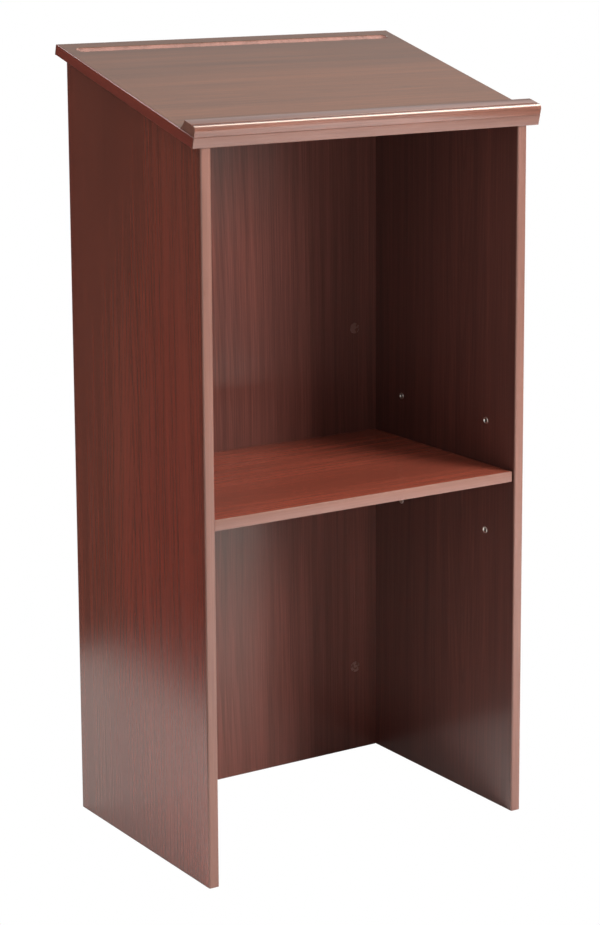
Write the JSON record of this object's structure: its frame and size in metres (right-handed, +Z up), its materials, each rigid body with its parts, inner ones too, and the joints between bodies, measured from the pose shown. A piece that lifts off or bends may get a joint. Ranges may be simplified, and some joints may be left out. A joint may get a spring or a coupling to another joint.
{
  "type": "presentation lectern",
  "caption": "Stand-up lectern of dark red laminated board with a sloping top, a paper stop, a pen groove and an adjustable shelf, open on the speaker's side.",
  "frame": {"origin": "on the floor, in the middle of the overall width and depth", "axes": "+X to the speaker's right, +Y towards the audience, +Z up"},
  "size_m": [0.5842, 0.3988, 1.1681],
  "materials": {
    "mahogany_board": "satin",
    "mahogany_shelf": "satin",
    "mahogany_laminate": "satin",
    "stained_core": "matte",
    "brown_backer": "matte",
    "mahogany_edging": "satin",
    "mahogany_moulding": "semi-gloss",
    "black_steel": "satin",
    "nickel": "bright nickel plate",
    "zinc": "die cast",
    "bright_steel": "zinc plated",
    "brown_plastic": "semi-gloss",
    "beech": "raw"
  },
  "bodies": {
    "lectern": {"front_cam_bolts": "bright_steel", "front_cam_covers": "brown_plastic", "front_cam_locks": "zinc", "front_dowels": "beech", "front_panel": "mahogany_board", "front_panel_foot_band": "mahogany_edging", "left_side_audience_edge_band": "mahogany_edging", "left_side_foot_band": "mahogany_edging", "left_side_panel": "mahogany_board", "left_side_speaker_edge_band": "mahogany_edging", "paper_stop": "mahogany_moulding", "paper_stop_screws": "black_steel", "right_side_audience_edge_band": "mahogany_edging", "right_side_foot_band": "mahogany_edging", "right_side_panel": "mahogany_board", "right_side_speaker_edge_band": "mahogany_edging", "shelf_pin_sleeves": "nickel", "top_audience_edge_band": "mahogany_edging", "top_backer": "brown_backer", "top_cam_bolts": "bright_steel", "top_cam_covers": "brown_plastic", "top_cam_locks": "zinc", "top_core": "stained_core", "top_dowels": "beech", "top_laminate": "mahogany_laminate", "top_left_edge_band": "mahogany_edging", "top_right_edge_band": "mahogany_edging", "top_speaker_edge_band": "mahogany_edging"},
    "shelf": {"shelf_audience_edge_band": "mahogany_edging", "shelf_board": "mahogany_shelf", "shelf_left_end_band": "mahogany_edging", "shelf_right_end_band": "mahogany_edging", "shelf_speaker_edge_band": "mahogany_edging"},
    "pin_left_near": {"shelf_pin_left_near": "nickel"},
    "pin_left_far": {"shelf_pin_left_far": "nickel"},
    "pin_right_near": {"shelf_pin_right_near": "nickel"},
    "pin_right_far": {"shelf_pin_right_far": "nickel"}
  },
  "joints": [
    {"name": "shelf_draw_out", "type": "slide", "parent": "lectern", "child": "shelf", "axis": [0, -1, 0], "range_m": [0, 0.38]},
    {"name": "pin_left_near_pull", "type": "slide", "parent": "lectern", "child": "pin_left_near", "axis": [1, 0, 0], "range_m": [0, 0.012]},
    {"name": "pin_left_far_pull", "type": "slide", "parent": "lectern", "child": "pin_left_far", "axis": [1, 0, 0], "range_m": [0, 0.012]},
    {"name": "pin_right_near_pull", "type": "slide", "parent": "lectern", "child": "pin_right_near", "axis": [-1, 0, 0], "range_m": [0, 0.012]},
    {"name": "pin_right_far_pull", "type": "slide", "parent": "lectern", "child": "pin_right_far", "axis": [-1, 0, 0], "range_m": [0, 0.012]}
  ]
}
